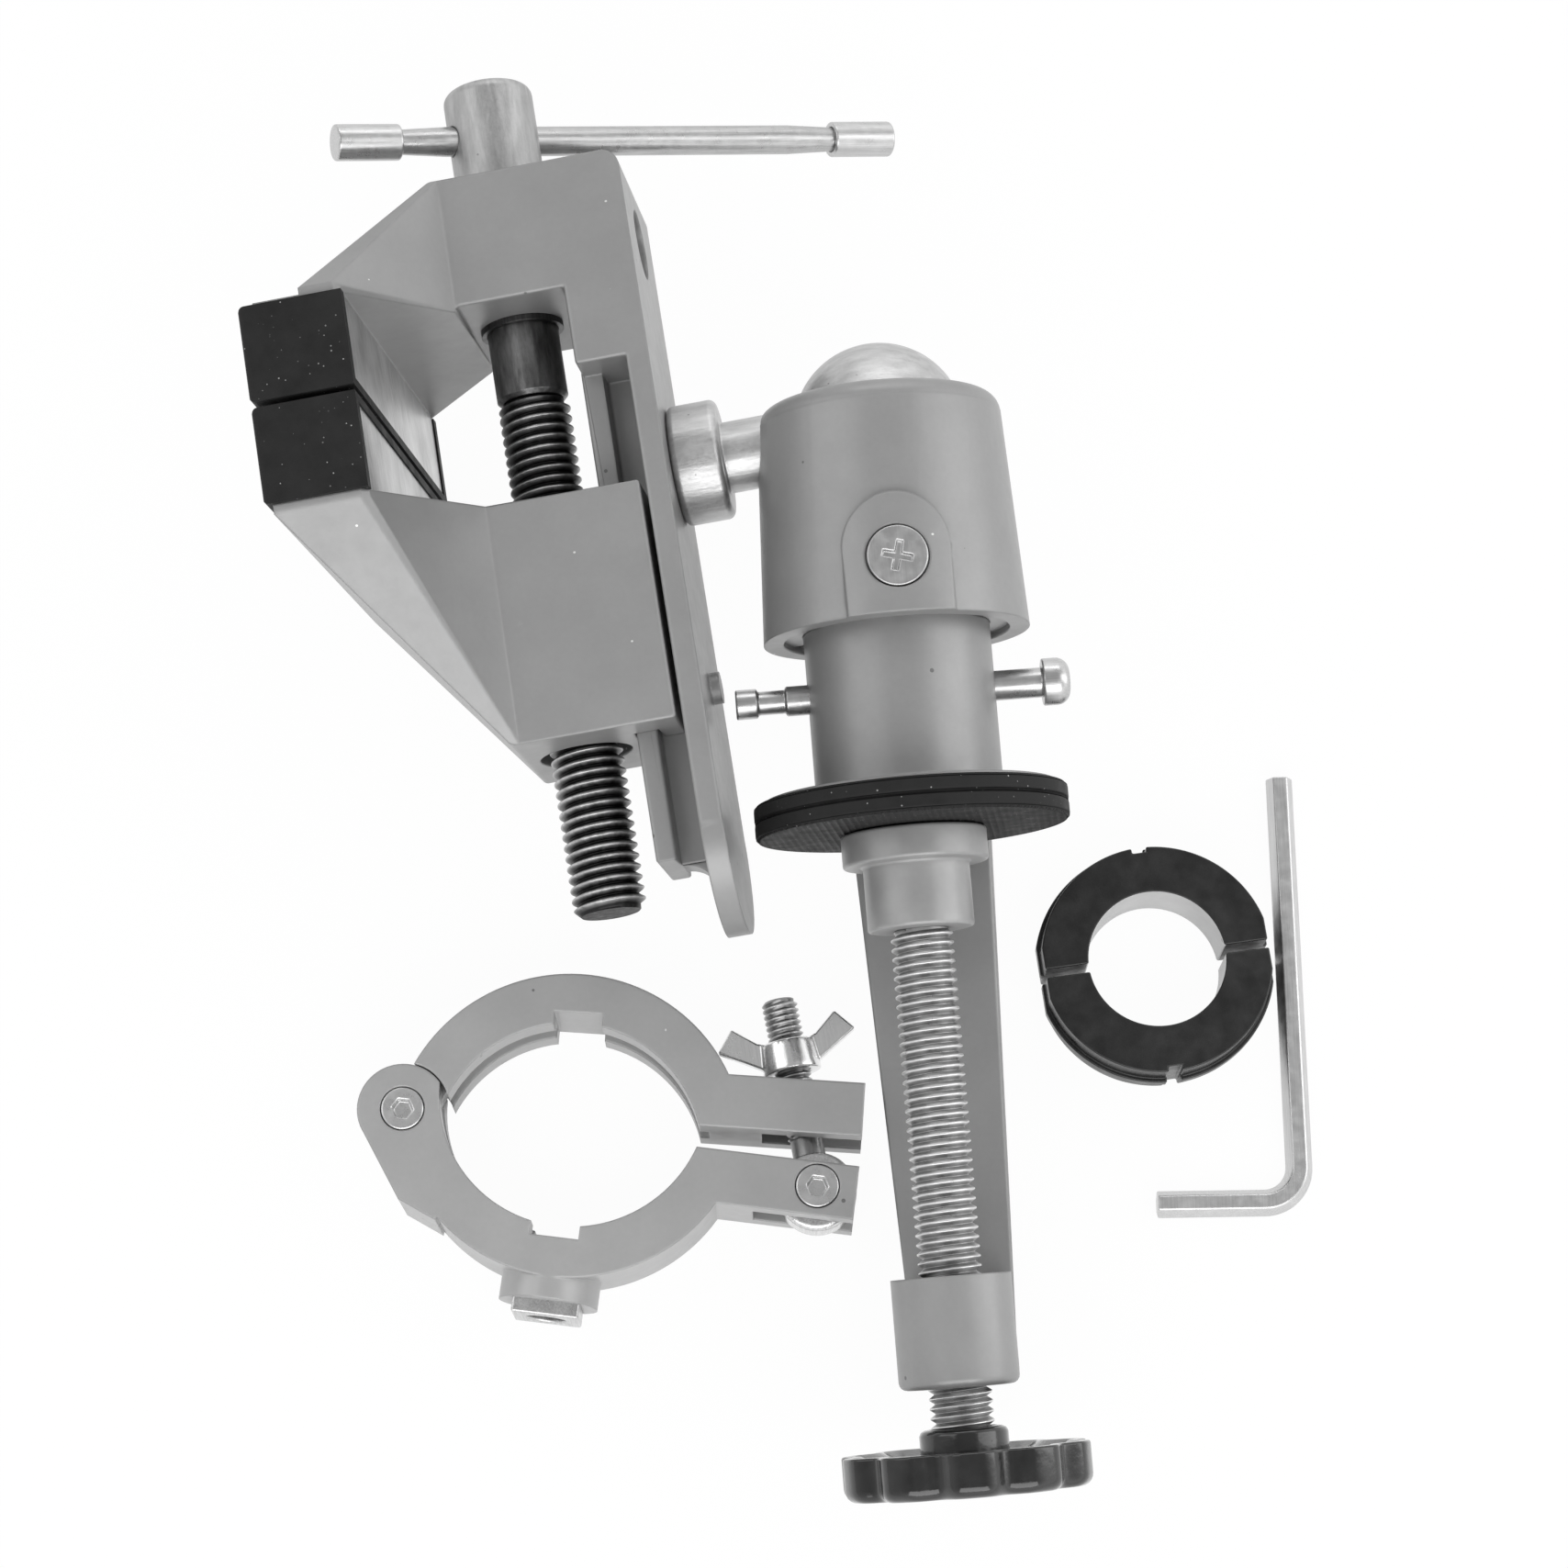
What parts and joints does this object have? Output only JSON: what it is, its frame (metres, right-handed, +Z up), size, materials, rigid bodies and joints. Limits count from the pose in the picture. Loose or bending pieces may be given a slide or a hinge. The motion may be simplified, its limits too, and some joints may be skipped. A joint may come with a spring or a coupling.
{
  "type": "hobby bench vise",
  "caption": "Small hobby vise on a lockable ball joint with a screw clamp foot, lying flat with its hinged tool collar, split bush and hex key.",
  "frame": {"origin": "on the table, under the middle of the whole layout", "axes": "+Z up from the table; +Y along the layout's length, roughly from the clamp's knob towards the vise's ball; +X to the right as pictured"},
  "size_m": [0.173, 0.2375, 0.0808],
  "materials": {
    "cast": "satin grey painted die casting",
    "steel": "bright zinc-plated steel",
    "dark_steel": "dark oiled steel",
    "wing": "polished chrome",
    "ball": "rough bright casting",
    "rubber": "matte black rubber",
    "black": "glossy black plastic",
    "bush": "matte black plastic",
    "seat": "white bearing plastic"
  },
  "bodies": {
    "clamp": {"clamp_frame": "cast", "clamp_pad": "rubber", "swivel_stud": "steel", "collar_lower": "cast", "collar_hinge_pin": "steel", "swing_pin": "steel", "boss_nut": "steel", "bush_upper": "bush", "bush_lower": "bush", "hex_key": "steel"},
    "column": {"lock_column": "cast"},
    "lever": {"lever_bar": "steel"},
    "sleeve": {"ball_sleeve": "cast", "sleeve_ring": "steel", "sleeve_screw_front": "steel", "sleeve_screw_back": "steel", "ball_seat": "seat"},
    "ball": {"ball_stud": "ball"},
    "head": {"fixed_jaw": "cast", "fixed_jaw_cover": "rubber"},
    "lead": {"lead_screw": "dark_steel", "retaining_ring": "dark_steel"},
    "slider": {"moving_jaw": "cast", "moving_jaw_cover": "rubber"},
    "handle": {"handle_bar": "steel", "handle_ends": "steel"},
    "foot": {"clamp_foot": "cast"},
    "knob_screw": {"clamp_screw": "steel", "clamp_knob": "black"},
    "collar_half": {"collar_upper": "cast"},
    "bolt": {"swing_bolt": "steel"},
    "nut": {"wing_nut": "wing"}
  },
  "joints": [
    {"name": "column_turn", "type": "hinge", "parent": "clamp", "child": "column", "pos_m": [0.01768, 0.00666, 0.04522], "axis": [-0.0785, 0.9879, 0.1337], "range_deg": [-8, 165]},
    {"name": "lever_slide", "type": "slide", "parent": "column", "child": "lever", "axis": [0.9969, 0.0792, 0], "range_m": [-0.0015, 0.0033]},
    {"name": "lock_turn", "type": "hinge", "parent": "column", "child": "sleeve", "pos_m": [0.01572, 0.03136, 0.04856], "axis": [-0.0785, 0.9879, 0.1337], "range_deg": [0, 60]},
    {"name": "ball_tilt", "type": "hinge", "parent": "sleeve", "child": "ball", "pos_m": [0.01411, 0.05161, 0.0513], "axis": [0.1004, 0.1412, -0.9849], "range_deg": [0, 105]},
    {"name": "head_roll", "type": "hinge", "parent": "ball", "child": "head", "pos_m": [0.01411, 0.05161, 0.0513], "axis": [0.9815, 0.1479, 0.1213], "range_deg": [-90, 90]},
    {"name": "lead_screw_turn", "type": "hinge", "parent": "head", "child": "lead", "pos_m": [-0.03988, 0.04348, 0.04463], "axis": [-0.1567, 0.9854, 0.0669], "range_deg": [0, 8228.57]},
    {"name": "jaw_slide", "type": "slide", "parent": "head", "child": "slider", "axis": [0.1567, -0.9854, -0.0669], "range_m": [0, 0.04]},
    {"name": "handle_slide", "type": "slide", "parent": "lead", "child": "handle", "axis": [0.9219, 0.1702, -0.3481], "range_m": [-0.053, 0.0085]},
    {"name": "clamp_foot_slide", "type": "slide", "parent": "clamp", "child": "foot", "axis": [0.0785, -0.9879, -0.1337], "range_m": [0, 0.05]},
    {"name": "clamp_screw_turn", "type": "hinge", "parent": "foot", "child": "knob_screw", "pos_m": [0.02318, -0.0625, 0.03586], "axis": [0.0785, -0.9879, -0.1337], "range_deg": [0, 12001]},
    {"name": "collar_open", "type": "hinge", "parent": "clamp", "child": "collar_half", "pos_m": [-0.06355, -0.0529, 0], "axis": [0, 0, 1], "range_deg": [-2.2, 1.2]},
    {"name": "swing_bolt_turn", "type": "hinge", "parent": "clamp", "child": "bolt", "pos_m": [0.0041, -0.06564, 0.0081], "axis": [0, 0, -1], "range_deg": [0, 6]},
    {"name": "wing_nut_turn", "type": "hinge", "parent": "bolt", "child": "nut", "pos_m": [0.00029, -0.04601, 0.0081], "axis": [-0.1908, 0.9816, 0], "continuous": true}
  ],
  "couplings": [
    {"joint": "jaw_slide", "follows": "lead_screw_turn", "m_per_rad": 0.00027852},
    {"joint": "clamp_screw_turn", "follows": "clamp_foot_slide", "rad_per_m": 4188.8}
  ]
}
